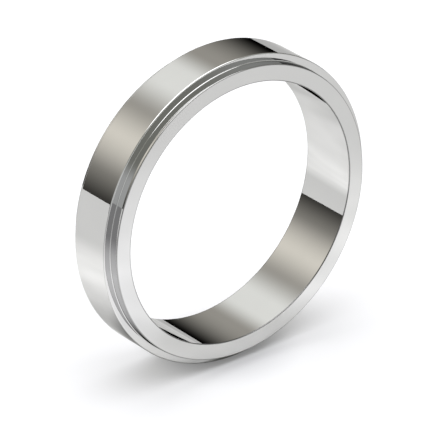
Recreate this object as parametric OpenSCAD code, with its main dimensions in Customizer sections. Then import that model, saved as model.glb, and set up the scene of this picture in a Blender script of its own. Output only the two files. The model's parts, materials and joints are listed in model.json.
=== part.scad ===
// Stepped wedding band, standing on its edge as it would on a table.
// A full-width base band carries a narrower raised band, and solder joins the two.
// The ring's axis is Y, the origin is the middle of the bore, and the front face is toward -Y.
// All sizes are in millimetres.

/* [Ring size] */
// Inside diameter, which is 52.8 mm around the finger
bore_d = 16.8; // [14:0.1:22]
// Width of the whole band along the finger
band_w = 4; // [3.2:0.1:8]

/* [Base band] */
// Radial thickness of the base band, which its two bare rims show
rim_t = 1.05; // [0.8:0.05:2]
// Width of the bare rim on each side of the raised band
rim_w = 0.61; // [0.4:0.01:1]

/* [Raised band] */
// Height of the raised band's surface above the rims
step_h = 0.49; // [0.35:0.01:1]

/* [Solder joint] */
// Thickness of the solder film between the two bands
film_t = 0.03; // [0.02:0.01:0.04]
// Radius of the hollow solder fillet in each step corner
fillet_r = 0.06; // [0.05:0.01:0.15]

/* [Polished edges] */
// Rounding of the two bore edges
bore_edge_r = 0.05; // [0.03:0.01:0.25]
// Rounding of the two outer edges of the rims
rim_edge_r = 0.05; // [0.03:0.01:0.2]
// Rounding of the two outer edges of the raised band
raised_edge_r = 0.07; // [0.03:0.01:0.15]

/* [Hidden] */
$fn = 180;
edge_fn = 48;

bore_r = bore_d / 2;
rim_r = bore_r + rim_t;
lap_r = rim_r + film_t;
raised_r = rim_r + step_h;
raised_w = band_w - 2 * rim_w;

// Turns a half section, drawn as radius by width, into a ring about the Y axis.
module ring_about_y() {
    rotate([90, 0, 0]) rotate_extrude() children();
}

// What is left of a square corner outside a quarter circle, with the corner at the origin.
// Cut from a section it rounds an edge, and added to one it fills an inside corner.
module corner_sliver(r) {
    difference() {
        square(r);
        translate([r, r]) circle(r = r, $fn = edge_fn);
    }
}

// Half section of a flat band, centred across its width, with its edges rounded.
// An inner edge of 0 stays square.
module band_section(inner_r, outer_r, width, inner_edge, outer_edge) {
    difference() {
        translate([inner_r, -width / 2]) square([outer_r - inner_r, width]);
        for (side = [0, 1])
            mirror([0, side]) {
                translate([outer_r, width / 2]) rotate(180) corner_sliver(outer_edge);
                if (inner_edge > 0)
                    translate([inner_r, width / 2]) rotate(-90) corner_sliver(inner_edge);
            }
    }
}

// Full-width inner ring with the plain polished bore.
module base_band() {
    color("gainsboro")
        ring_about_y() band_section(bore_r, rim_r, band_w, bore_edge_r, rim_edge_r);
}

// Narrower outer ring, centred over the base band, which leaves a bare rim on each side.
module raised_band() {
    color("silver")
        ring_about_y() band_section(lap_r, raised_r, raised_w, 0, raised_edge_r);
}

// Solder that fills the lap between the two bands and turns up into both step corners.
module solder_joint() {
    color("lightsteelblue")
        ring_about_y() {
            translate([rim_r, -raised_w / 2]) square([film_t, raised_w]);
            for (side = [0, 1])
                mirror([0, side]) translate([rim_r, raised_w / 2]) corner_sliver(fillet_r);
        }
}

base_band();
raised_band();
solder_joint();
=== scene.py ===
import json
import math

import bpy
import numpy as np
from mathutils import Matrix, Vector


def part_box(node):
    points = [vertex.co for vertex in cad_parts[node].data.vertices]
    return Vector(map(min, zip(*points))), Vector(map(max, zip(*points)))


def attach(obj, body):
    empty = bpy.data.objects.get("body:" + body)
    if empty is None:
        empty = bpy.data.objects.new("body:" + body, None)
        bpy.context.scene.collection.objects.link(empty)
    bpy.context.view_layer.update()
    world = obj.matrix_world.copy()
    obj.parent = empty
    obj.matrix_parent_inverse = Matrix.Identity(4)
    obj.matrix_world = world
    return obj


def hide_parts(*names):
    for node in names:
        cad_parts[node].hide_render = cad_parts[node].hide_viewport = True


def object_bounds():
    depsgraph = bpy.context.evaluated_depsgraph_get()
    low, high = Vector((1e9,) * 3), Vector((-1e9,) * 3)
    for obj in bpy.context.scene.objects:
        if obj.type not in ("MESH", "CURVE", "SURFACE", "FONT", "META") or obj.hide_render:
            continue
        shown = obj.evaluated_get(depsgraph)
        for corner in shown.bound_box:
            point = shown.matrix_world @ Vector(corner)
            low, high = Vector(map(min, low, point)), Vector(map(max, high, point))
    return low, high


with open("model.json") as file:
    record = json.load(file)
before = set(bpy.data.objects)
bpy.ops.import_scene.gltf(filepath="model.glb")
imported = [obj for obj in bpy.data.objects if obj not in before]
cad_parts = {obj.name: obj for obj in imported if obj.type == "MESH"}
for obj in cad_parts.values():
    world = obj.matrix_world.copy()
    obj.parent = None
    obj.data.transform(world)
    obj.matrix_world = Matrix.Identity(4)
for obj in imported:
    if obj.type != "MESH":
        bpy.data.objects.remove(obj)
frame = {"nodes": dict(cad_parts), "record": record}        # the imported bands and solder, with the record
cadLow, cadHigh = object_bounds()
print("frame loaded:", ", ".join(sorted(frame["nodes"])))

mm = 0.001
mounts = {mount["name"]: mount for mount in frame["record"]["mounts"]}
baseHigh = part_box("base_band")[1]
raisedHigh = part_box("raised_band")[1]
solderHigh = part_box("solder_joint")[1]

ring = {
    "boreRadius": mounts["finger_bore"]["dims"]["r_mm"] * mm,
    "rimRadius": baseHigh.z,
    "raisedRadius": raisedHigh.z,
    "halfWidth": baseHigh.y,
    "raisedHalf": raisedHigh.y,
    "filletSize": solderHigh.y - raisedHigh.y,
}


# Shader maths: a socket that can be used in a Python expression

class Wire:
    def __init__(self, bench, socket):
        self.bench = bench
        self.socket = socket

    def maths(self, operation, *others):
        return self.bench.node("ShaderNodeMath", {"operation": operation}, [self, *others])

    def __add__(self, other):
        return self.maths("ADD", other)

    def __sub__(self, other):
        return self.maths("SUBTRACT", other)

    def __rsub__(self, other):
        return self.bench.node("ShaderNodeMath", {"operation": "SUBTRACT"}, [other, self])

    def __mul__(self, other):
        return self.maths("MULTIPLY", other)

    def __truediv__(self, other):
        return self.maths("DIVIDE", other)

    def __pow__(self, other):
        return self.maths("POWER", other)

    __radd__ = __add__
    __rmul__ = __mul__


class Bench:
    def __init__(self, tree):
        self.tree = tree
        tree.nodes.clear()

    # A node of this type: its settings first, then the values or wires of its sockets, by place or by name.
    def node(self, kind, settings=None, sockets=None, output=0):
        made = self.tree.nodes.new(kind)
        for name, value in (settings or {}).items():
            setattr(made, name, value)
        pairs = sockets.items() if isinstance(sockets, dict) else enumerate(sockets or [])
        for name, value in pairs:
            if isinstance(value, Wire):
                self.tree.links.new(value.socket, made.inputs[name])
            else:
                made.inputs[name].default_value = value
        return Wire(self, made.outputs[output]) if made.outputs else made

    def parts(self, vector):
        split = self.node("ShaderNodeSeparateXYZ", None, [vector])
        return [Wire(self, output) for output in split.socket.node.outputs]

    def join(self, x, y, z):
        return self.node("ShaderNodeCombineXYZ", None, [x, y, z])

    # 0 below low, 1 above high, and a smooth S between them
    def step(self, value, low, high):
        settings = {"interpolation_type": "SMOOTHSTEP"}
        return self.node("ShaderNodeMapRange", settings, {"Value": value, "From Min": low, "From Max": high})

    def mix(self, share, first, second):
        settings = {"data_type": "RGBA"}
        return self.node("ShaderNodeMix", settings, {0: share, 6: first, 7: second}, output=2)


# Shapes: a half section, radius by width, carried round the finger's axis

lathe = {
    "turnSteps": 512,
    "edgeSteps": 13,
    "calmGaps": (0.02 * mm, 0.1 * mm),   # rows beside each rounding that keep the flats' shading flat
    "startAngle": -math.pi / 2,          # the polish pattern's seam is where the ring touches the table
}


# Quarter arcs at the corners of a band's section, anticlockwise from the middle of its outer side.
# Each arc is centre + edge * (cos a, sin a), and a corner with no edge stays one point.
def bandSection(innerR, outerR, half, innerEdge, outerEdge):
    corners = [(outerR, half, outerEdge), (innerR, half, innerEdge),
               (innerR, -half, innerEdge), (outerR, -half, outerEdge)]
    rows = [np.array([[outerR, 0.0]])]
    for quarter, (radius, width, edge) in enumerate(corners):
        turn = (quarter + np.linspace(0, 1, lathe["edgeSteps"] if edge else 1)) * math.pi / 2
        inward = np.array([-1 if radius == outerR else 1, -1 if width > 0 else 1]) * edge
        centre = np.array([radius, width]) + inward
        rows.append(centre + edge * np.column_stack([np.cos(turn), np.sin(turn)]))
    return np.vstack(rows)


# The solder's section: a thin film under the raised band with a hollow quarter arc at each end.
# Each arc is centre + fillet * (cos a, sin a), bulging towards the step's corner.
def solderSection(rimR, half, film, fillet):
    turn = np.linspace(math.pi, math.pi / 2, lathe["edgeSteps"])
    arc = np.column_stack([rimR + fillet + fillet * np.cos(turn), -half - fillet + fillet * np.sin(turn)])
    lap = np.array([[rimR + film, -half], [rimR + film, half]])
    return np.vstack([arc, lap, arc[::-1] * [1, -1]])


# Adds rows close beside both ends of every long straight run of a closed section.
# The section is read again at sorted distances along its own length.
def calmRuns(section):
    closed = np.vstack([section, section[:1]])
    along = np.concatenate([[0], np.cumsum(np.hypot(*np.diff(closed, axis=0).T))])
    widest = 2.5 * max(lathe["calmGaps"])
    longRuns = np.diff(along) > widest
    starts, ends = along[:-1][longRuns], along[1:][longRuns]
    extra = [starts + gap for gap in lathe["calmGaps"]] + [ends - gap for gap in lathe["calmGaps"]]
    places = np.unique(np.concatenate([along[:-1], *extra]))
    return np.column_stack([np.interp(places, along, closed[:, axis]) for axis in (0, 1)])


# x = radius * cos a, y = width, z = radius * sin a.
# Here a goes the whole turn, and (radius, width) goes round the section.
def turnRound(name, section):
    turns, rows = lathe["turnSteps"], len(section)
    angle = lathe["startAngle"] + np.linspace(0, 2 * math.pi, turns, endpoint=False)[:, None]
    radius, width = section[:, 0], section[:, 1]
    points = np.stack([radius * np.cos(angle), width + 0 * angle, radius * np.sin(angle)], axis=-1)
    turn, row = np.meshgrid(np.arange(turns), np.arange(rows), indexing="ij")
    nextTurn, nextRow = (turn + 1) % turns, (row + 1) % rows
    corners = [(turn, row), (turn, nextRow), (nextTurn, nextRow), (nextTurn, row)]
    faces = np.stack([t * rows + r for t, r in corners], axis=-1).reshape(-1, 4)
    mesh = bpy.data.meshes.new(name)
    mesh.from_pydata(points.reshape(-1, 3).tolist(), [], faces.tolist())
    mesh.polygons.foreach_set("use_smooth", np.ones(len(faces), bool))
    mesh.set_sharp_from_angle(angle=math.radians(35))
    piece = bpy.data.objects.new(name, mesh)
    bpy.context.scene.collection.objects.link(piece)
    return piece


# Metal: polished and white. Faint lines run round the ring.
# The listed edges have painted shade: each rounding's colour is darkened to that edge's grey, and it is a
# little rougher.

def polishedMetal(name, look):
    material = bpy.data.materials.new(name)
    material.use_nodes = True
    bench = Bench(material.node_tree)
    place = bench.node("ShaderNodeTexCoord", None, None, output=3)
    x, y, z = bench.parts(place)
    radius = (x * x + z * z) ** 0.5
    around = look["lineReach"]
    turned = bench.join(x / radius * around, (radius + y) / look["lineSpacing"], z / radius * around)
    lines = bench.node("ShaderNodeTexNoise", None, {"Vector": turned, "Scale": 1.0, "Detail": 3.0})
    clouds = bench.node("ShaderNodeTexNoise", None, {
        "Vector": place, "Scale": 1 / look["cloudSize"], "Detail": 2.0})
    fine = (lines - 0.5) * 2
    soft = (clouds - 0.5) * 2
    roughness = look["roughness"] + fine * look["lineRoughness"] + soft * look["cloudRoughness"]
    colour = bench.mix(clouds, (*look["shade"], 1), (*look["tint"], 1))
    # Painted shade: close to each listed edge the colour goes to that edge's darker grey, for a dark line
    # along it.
    for edgeRadius, edgeWidth, edgeShade in look["edges"]:
        sideways = bench.node("ShaderNodeMath", {"operation": "ABSOLUTE"}, [y]) - edgeWidth
        outward = radius - edgeRadius
        reach = (sideways * sideways + outward * outward) ** 0.5
        shadeNear = 1 - bench.step(reach, *look["edgeReach"])
        roughness = roughness + shadeNear * look["edgeRoughness"]
        colour = bench.mix(shadeNear, colour, (edgeShade, edgeShade, edgeShade, 1))
    bump = bench.node("ShaderNodeBump", None, {
        "Strength": 1.0, "Distance": look["lineDepth"], "Height": lines})
    surface = bench.node("ShaderNodeBsdfPrincipled", None, {
        "Base Color": colour, "Metallic": 1.0, "Roughness": roughness, "Normal": bump,
        "Specular Tint": (*look["grazingTint"], 1)})
    bench.node("ShaderNodeOutputMaterial", None, [surface])
    return material


# The base band: full width, with the plain bore and both bare rims

baseBand = {
    "boreEdge": 0.05 * mm,
    "rimEdge": 0.05 * mm,
    # Painted shade: the bore's and the rim's edge roundings are darkened to these greys.
    "boreEdgeShade": 0.22, "rimEdgeShade": 0.34,      # how bright the two edges' roundings are
    "look": {
        "tint": (0.64, 0.64, 0.643), "shade": (0.6, 0.6, 0.603),
        "roughness": 0.016, "lineRoughness": 0.006, "cloudRoughness": 0.004, "edgeRoughness": 0.03,
        "lineSpacing": 0.09 * mm, "lineReach": 3.0, "lineDepth": 0.00002 * mm,
        "cloudSize": 2.5 * mm, "edgeReach": (0.04 * mm, 0.08 * mm),
        "grazingTint": (0.6, 0.6, 0.6),
    },
}


def makeBaseBand():
    section = bandSection(ring["boreRadius"], ring["rimRadius"], ring["halfWidth"],
                          baseBand["boreEdge"], baseBand["rimEdge"])
    piece = turnRound("polished_base_band", calmRuns(section))
    edges = [(ring["boreRadius"], ring["halfWidth"], baseBand["boreEdgeShade"]),
             (ring["rimRadius"], ring["halfWidth"], baseBand["rimEdgeShade"])]
    piece.data.materials.append(polishedMetal("basePlatinum", {**baseBand["look"], "edges": edges}))
    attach(piece, "root")
    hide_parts("base_band")
    print("base band turned:", len(piece.data.polygons), "faces")
    return piece


# The raised band: narrower, with square inner corners hidden in the lap

raisedBand = {
    "outerEdge": 0.07 * mm,
    # Painted shade: the raised band's outer edge rounding is darkened to this grey.
    "raisedEdgeShade": 0.58,
    "look": {
        "tint": (0.64, 0.64, 0.643), "shade": (0.6, 0.6, 0.603),
        "roughness": 0.015, "lineRoughness": 0.006, "cloudRoughness": 0.004, "edgeRoughness": 0.03,
        "lineSpacing": 0.09 * mm, "lineReach": 3.0, "lineDepth": 0.00002 * mm,
        "cloudSize": 2.5 * mm, "edgeReach": (0.04 * mm, 0.08 * mm),
        "grazingTint": (0.6, 0.6, 0.6),
    },
}


def makeRaisedBand():
    section = bandSection(ring["rimRadius"] + solderJoint["film"], ring["raisedRadius"],
                          ring["raisedHalf"], 0, raisedBand["outerEdge"])
    piece = turnRound("polished_raised_band", calmRuns(section))
    edges = [(ring["raisedRadius"], ring["raisedHalf"], raisedBand["raisedEdgeShade"])]
    piece.data.materials.append(polishedMetal("raisedPlatinum", {**raisedBand["look"], "edges": edges}))
    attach(piece, "root")
    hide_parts("raised_band")
    print("raised band turned:", len(piece.data.polygons), "faces")
    return piece


# The solder: a film in the lap and a bright little fillet in each step corner

solderJoint = {
    "film": 0.03 * mm,
    "look": {
        "tint": (0.57, 0.57, 0.57), "shade": (0.54, 0.54, 0.54),
        "roughness": 0.07, "lineRoughness": 0.015, "cloudRoughness": 0.015,
        "lineSpacing": 0.05 * mm, "lineReach": 12.0, "lineDepth": 0.0001 * mm,
        "cloudSize": 0.6 * mm,
        "grazingTint": (0.6, 0.6, 0.6),
    },
}


def makeSolderJoint():
    section = solderSection(ring["rimRadius"], ring["raisedHalf"], solderJoint["film"], ring["filletSize"])
    piece = turnRound("step_solder", calmRuns(section))
    piece.data.materials.append(polishedMetal("solderMetal", {**solderJoint["look"], "edges": []}))
    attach(piece, "root")
    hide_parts("solder_joint")
    print("solder run in:", len(piece.data.polygons), "faces")
    return piece


makeBaseBand()
makeRaisedBand()
makeSolderJoint()


# The studio: a pale table, soft panels round the ring and a large soft light overhead

studio = {
    # Panels are laid one over the last. Each rises and falls between angles in degrees round the ring's axis,
    # from +X over the top to -X. A panel without one of them goes on past that horizon.
    "behind": {
        "wall": {"rise": (0, 48), "fall": (145, 190), "light": 0.48, "hue": (1.0, 0.96, 0.86)},
        "window": {"rise": (50, 72), "fall": (86, 114), "light": 1.13, "hue": (0.99, 0.995, 0.95)},
        "lamp": {"rise": (108, 136), "fall": (134, 164), "light": 1.0, "hue": (1.0, 0.955, 0.85)},
    },
    "before": {
        "rightScreen": {"light": 0.6, "hue": (0.985, 1.0, 0.96)},
        "room": {"rise": (20, 80), "light": 0.38, "hue": (0.985, 1.0, 0.895)},
        "leftScreen": {"rise": (146, 162), "light": 0.8, "hue": (0.985, 1.0, 0.985)},
    },
    "overhead": 3.5,
    "overheadFrom": 0.76,    # sine of the height at which the overhead light begins
    "overheadFull": 0.86,
    "sideBlend": (-0.2, 0.2),
}


# Lays the panels over a black room, each where its angle range says.
def layPanels(bench, angle, panels):
    tone = (0, 0, 0, 1)
    for panel in panels.values():
        share = 1
        if "rise" in panel:
            share = bench.step(angle, *panel["rise"])
        if "fall" in panel:
            share = share * (1 - bench.step(angle, *panel["fall"]))
        tone = bench.mix(share, tone, tuple(part * panel["light"] for part in panel["hue"]) + (1,))
    return tone


# The panels stand round the ring's axis, some behind it and some before it.
# The overhead light covers the top, and below the table's edge each side keeps its end tone.
def makeStudioWorld():
    world = bpy.data.worlds.new("softStudio")
    world.use_nodes = True
    bpy.context.scene.world = world
    bench = Bench(world.node_tree)
    x, y, z = bench.parts(bench.node("ShaderNodeTexCoord", None, None, output=0))
    turn = bench.node("ShaderNodeMath", {"operation": "ARCTAN2"}, [z.maths("MAXIMUM", 0), x])
    angle = turn * math.degrees(1)
    before, behind = [layPanels(bench, angle, studio[side]) for side in ("before", "behind")]
    around = bench.mix(bench.step(y, *studio["sideBlend"]), before, behind)
    box = (studio["overhead"],) * 3 + (1,)
    light = bench.mix(bench.step(z, studio["overheadFrom"], studio["overheadFull"]), around, box)
    background = bench.node("ShaderNodeBackground", None, {"Color": light, "Strength": 1.0})
    bench.node("ShaderNodeOutputWorld", None, [background])


# The table is two sheets in one place. The camera sees the plain one, which is shaded under the ring by its
# real shadow and by a painted contact shadow, its glow turned down near the ring.
# The metal mirrors the other, whose brightness changes with distance, all of it painted light and shade: a
# painted dim contact, a painted pool of light and a darker surround, with painted darker quarters and painted
# shade behind the ring.
# In front it glows with painted light of its own, so that the steps mirror it in the metal of the bands too.
tableLook = {
    "radius": 0.93, "corners": 96, "wallHeight": 1.5, "drop": 0.01 * mm,
    # The seen sheet: its colour, its even glow, and a painted contact shadow that turns the glow down near
    # the ring.
    "seen": (0.458, 0.46, 0.482), "seenGlow": 0.43, "paintedContactShadow": 0.24, "contactReach": (1.5 * mm, 5.5 * mm),
    "light": 1.48,                                   # what the studio lays on an open white table
    # The mirrored sheet's painted light and shade, by place:
    "contact": 1.14, "pool": 1.29, "beyond": 0.92, "leftPool": 0.18, "leftReach": (5 * mm, 13 * mm),
    "poolRise": (5.5 * mm, 12 * mm), "poolFall": (16 * mm, 34 * mm),
    "darkQuarters": 0.45, "quartersFrom": (22 * mm, 38 * mm), "quartersShift": 3 * mm,
    "rightEnd": (0, 20 * mm),
    "backShade": 0.07, "backFrom": (0.5, 0.9), "backReach": (3 * mm, 5.3 * mm), "backLeast": 0.5,
    "glow": 0.9, "glowRise": (6.3 * mm, 10.5 * mm), "glowRight": 0.87,
    "glowEnd": (0, 20 * mm), "glowFront": (0, 4 * mm),
    "clouds": 0.2, "cloudSize": 4.5 * mm,
}


def makeStagePiece(name, points, faces):
    mesh = bpy.data.meshes.new(name)
    mesh.from_pydata(points, [], faces)
    piece = bpy.data.objects.new(name, mesh)
    bpy.context.scene.collection.objects.link(piece)
    material = bpy.data.materials.new(name + "Paper")
    material.use_nodes = True
    mesh.materials.append(material)
    return piece, Bench(material.node_tree)


def tableEdge(height):
    turns = [2 * math.pi * corner / tableLook["corners"] for corner in range(tableLook["corners"])]
    radius = tableLook["radius"]
    return [(radius * math.cos(turn), radius * math.sin(turn), height) for turn in turns]


# A white wall round the table, for low views: only the camera sees it.
def makeBackdrop():
    count = tableLook["corners"]
    faces = []
    for corner in range(count):
        following = (corner + 1) % count
        faces.append((corner, following, following + count, corner + count))
    wall, bench = makeStagePiece("backdrop", tableEdge(cadLow.z) + tableEdge(tableLook["wallHeight"]), faces)
    wall.visible_glossy = wall.visible_diffuse = wall.visible_shadow = False
    white = bench.node("ShaderNodeEmission", None, {"Strength": 1.0})
    bench.node("ShaderNodeOutputMaterial", None, [white])


# Adds a diffuse sheet's light and its own glow, and ends the material there.
def paperShader(bench, colour, glow):
    diffuse = bench.node("ShaderNodeBsdfDiffuse", None, {"Color": colour})
    glowing = bench.node("ShaderNodeEmission", None, {"Strength": glow})
    both = bench.node("ShaderNodeAddShader", None, [diffuse, glowing])
    bench.node("ShaderNodeOutputMaterial", None, [both])


def makeTable():
    look = tableLook
    disc = [range(look["corners"])]
    seen, bench = makeStagePiece("table", tableEdge(cadLow.z), disc)
    seen.visible_glossy = seen.visible_diffuse = seen.visible_shadow = False
    x, y, z = bench.parts(bench.node("ShaderNodeTexCoord", None, None, output=3))
    # Painted contact shadow: the glow is turned down close to where the ring touches.
    shadeNear = 1 - bench.step((x * x + y * y) ** 0.5, *look["contactReach"])
    paperShader(bench, (*look["seen"], 1), look["seenGlow"] - shadeNear * look["paintedContactShadow"])

    mirrored, bench = makeStagePiece("mirroredTable", tableEdge(cadLow.z - look["drop"]), disc)
    mirrored.visible_camera = mirrored.visible_diffuse = False
    place = bench.node("ShaderNodeTexCoord", None, None, output=3)
    x, y, z = bench.parts(place)
    distance = (x * x + y * y) ** 0.5
    # Painted light and shade: a dim contact, a pool of light and a darker surround, by distance from the
    # middle, with more light to the left.
    rise, fall = bench.step(distance, *look["poolRise"]), bench.step(distance, *look["poolFall"])
    pool = look["pool"] + bench.step(0 - x, *look["leftReach"]) * look["leftPool"]
    tone = look["contact"] + rise * (pool - look["contact"]) - fall * (pool - look["beyond"])
    # Painted shade: two darker quarters further out, fading away to the right.
    sideX, sideY = x + look["quartersShift"], y + look["quartersShift"]
    outer = bench.step((sideX * sideX + sideY * sideY) ** 0.5, *look["quartersFrom"])
    diagonal = (x * y * 2 / (distance * distance)).maths("MAXIMUM", 0)
    tone = tone * (1 - diagonal * outer * (1 - bench.step(x, *look["rightEnd"])) * look["darkQuarters"])
    # Painted shade behind the ring, and a painted contact shadow close behind it.
    behind = bench.step(y / distance, *look["backFrom"])
    tone = tone * (1 - behind * look["backShade"])
    inFront = bench.step(0 - y, *look["glowFront"])
    nearBack = bench.step(y, *look["backReach"]) * (1 - look["backLeast"]) + look["backLeast"]
    tone = tone * (nearBack + inFront).maths("MINIMUM", 1)
    clouds = bench.node("ShaderNodeTexNoise", None, {
        "Vector": place, "Scale": 1 / look["cloudSize"], "Detail": 1.0})
    tone = tone * (1 + (clouds - 0.5) * (1 - fall) * (2 * look["clouds"]))
    # Painted light: in front the sheet glows, less to the right, and the glow's share of the tone is taken
    # from its colour.
    glow = bench.step(distance, *look["glowRise"]) * inFront * look["glow"]
    glow = glow * (1 - bench.step(x, *look["glowEnd"]) * look["glowRight"])
    paperShader(bench, tone * (1 - glow) / look["light"], tone * glow)


# The camera: a long lens, held straight, to the left of the front and above it

cameraView = {
    "azimuth": -38.89, "elevation": 27.32,     # degrees, from the front
    "distance": 274.7 * mm,
    "lens": 383.9, "sensor": 36.0,
    "aimRight": -0.357 * mm, "aimUp": -0.804 * mm,
}


def makeCamera():
    a, e = math.radians(cameraView["azimuth"]), math.radians(cameraView["elevation"])
    back = Vector((math.sin(a) * math.cos(e), -math.cos(a) * math.cos(e), math.sin(e)))
    right = Vector((math.cos(a), math.sin(a), 0))
    up = back.cross(right)
    data = bpy.data.cameras.new("camera")
    data.sensor_width = cameraView["sensor"]
    data.lens = cameraView["lens"]
    data.clip_start = 0.01
    camera = bpy.data.objects.new("camera", data)
    bpy.context.scene.collection.objects.link(camera)
    camera.location = back * cameraView["distance"]
    target = right * cameraView["aimRight"] + up * cameraView["aimUp"]
    camera.rotation_euler = (target - camera.location).to_track_quat("-Z", "Y").to_euler()
    bpy.context.scene.camera = camera


makeStudioWorld()
makeTable()
makeBackdrop()
makeCamera()
bpy.context.scene.view_settings.view_transform = "Standard"
bpy.context.scene.cycles.caustics_reflective = False
bpy.context.scene.cycles.glossy_bounces = 1
print("studio, table and camera set")
